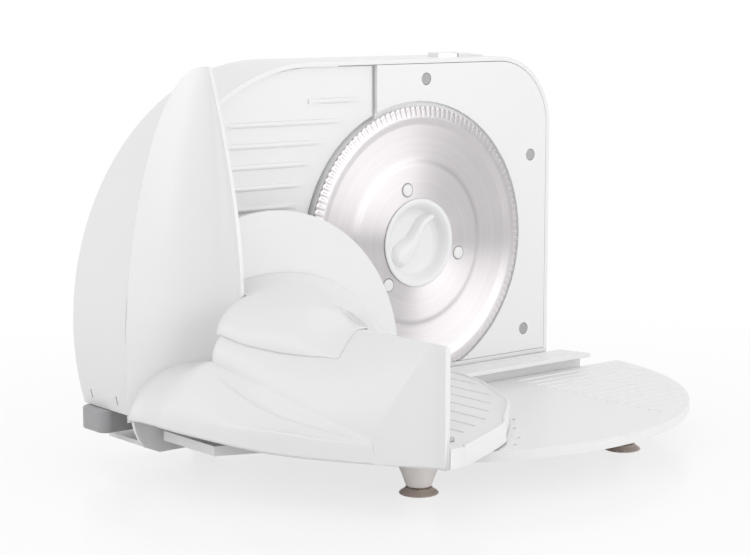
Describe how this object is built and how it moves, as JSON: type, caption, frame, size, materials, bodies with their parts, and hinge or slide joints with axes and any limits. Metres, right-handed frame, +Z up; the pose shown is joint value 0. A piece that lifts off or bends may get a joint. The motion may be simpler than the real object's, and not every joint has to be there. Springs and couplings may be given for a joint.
{
  "type": "electric food slicer",
  "caption": "White plastic food slicer: arched housing with a round toothed blade, adjustable stop plate, and a food carriage with pusher that slides across an oval base on suction feet.",
  "frame": {"origin": "on the table, under the middle of the bounding box", "axes": "+X to the right along the cutting face, the way the carriage slides; +Y from the food side to the back; +Z up"},
  "size_m": [0.4218, 0.2794, 0.26],
  "materials": {
    "white_plastic": "glossy moulded white",
    "inner_plastic": "satin",
    "nylon": "satin natural nylon",
    "grey_paint": "silver grey paint",
    "blade_steel": "ground, with fine rings",
    "rod_steel": "bright",
    "can_steel": "rolled",
    "chrome": "polished",
    "plug_grey": "satin",
    "dark_plastic": "satin black",
    "foot_white": "satin off-white",
    "cup_clear": "clear brownish rubber",
    "bronze": "sintered bronze",
    "board_green": "board lacquer"
  },
  "bodies": {
    "housing": {"base": "white_plastic", "carriage_rail": "white_plastic", "housing_shell": "white_plastic", "blade_plate": "white_plastic", "rear_cover": "white_plastic", "worm_bearing": "inner_plastic", "base_beam": "grey_paint", "cover_screw_1": "rod_steel", "cover_screw_2": "rod_steel", "cover_screw_3": "rod_steel", "cover_screw_4": "rod_steel", "motor_clamp": "rod_steel", "power_spring": "rod_steel", "safety_spring": "rod_steel", "motor_can": "can_steel", "plate_plug_1": "plug_grey", "plate_plug_2": "plug_grey", "plate_plug_3": "plug_grey", "lead_gland": "dark_plastic", "motor_end_cap": "dark_plastic", "switch_body": "dark_plastic", "foot_front_left": "foot_white", "foot_front_right": "foot_white", "foot_rear_left": "foot_white", "foot_rear_right": "foot_white", "suction_cup_front_left": "cup_clear", "suction_cup_front_right": "cup_clear", "suction_cup_rear_left": "cup_clear", "suction_cup_rear_right": "cup_clear", "front_bush": "bronze", "rear_bush": "bronze", "rectifier_board": "board_green"},
    "carriage": {"carriage_body": "white_plastic", "food_platform": "white_plastic", "carriage_runner": "nylon", "platform_screw": "rod_steel"},
    "pusher": {"pusher_plate": "white_plastic", "pusher_grip": "white_plastic", "grip_screw_1": "rod_steel", "grip_screw_2": "rod_steel"},
    "blade_unit": {"blade": "blade_steel", "drive_gear": "nylon"},
    "knob": {"lock_knob": "white_plastic"},
    "motor_rotor": {"worm_shaft": "rod_steel"},
    "stop_unit": {"stop_plate": "white_plastic", "stop_plate_carrier": "inner_plastic", "guide_rod_upper": "rod_steel", "guide_rod_lower": "rod_steel"},
    "dial_unit": {"thickness_dial": "white_plastic", "thickness_spindle": "nylon", "dial_screw": "rod_steel"},
    "power_cap": {"power_button": "chrome"},
    "safety_cap": {"safety_button": "white_plastic"}
  },
  "joints": [
    {"name": "carriage_slide", "type": "slide", "parent": "housing", "child": "carriage", "axis": [1, 0, 0], "range_m": [0, 0.17]},
    {"name": "pusher_slide", "type": "slide", "parent": "carriage", "child": "pusher", "axis": [0, -1, 0], "range_m": [0, 0.11]},
    {"name": "blade_spin", "type": "hinge", "parent": "housing", "child": "blade_unit", "pos_m": [0.03209, 0.06635, 0.13], "axis": [0, 1, 0], "continuous": true},
    {"name": "motor_spin", "type": "hinge", "parent": "housing", "child": "motor_rotor", "pos_m": [0.07439, 0.09485, 0.13], "axis": [0, 0, 1], "continuous": true},
    {"name": "knob_turn", "type": "hinge", "parent": "blade_unit", "child": "knob", "pos_m": [0.03209, 0.06635, 0.13], "axis": [0, 1, 0], "range_deg": [0, 90]},
    {"name": "thickness_turn", "type": "hinge", "parent": "housing", "child": "dial_unit", "pos_m": [-0.11791, 0.11735, 0.116], "axis": [0, 1, 0], "range_deg": [-120, 180]},
    {"name": "stop_slide", "type": "slide", "parent": "housing", "child": "stop_unit", "axis": [0, 1, 0], "range_m": [-0.006, 0.009]},
    {"name": "power_press", "type": "slide", "parent": "housing", "child": "power_cap", "axis": [0, 0, -1], "range_m": [0, 0.0024], "stiffness_N_per_m": 400, "springref_m": -0.003, "deforming": ["power_spring"]},
    {"name": "safety_press", "type": "slide", "parent": "housing", "child": "safety_cap", "axis": [0, 0, -1], "range_m": [0, 0.0024], "stiffness_N_per_m": 400, "springref_m": -0.003, "deforming": ["safety_spring"]}
  ],
  "couplings": [
    {"joint": "motor_spin", "follows": "blade_spin", "ratio": 36},
    {"joint": "thickness_turn", "follows": "stop_slide", "rad_per_m": 349.07}
  ]
}
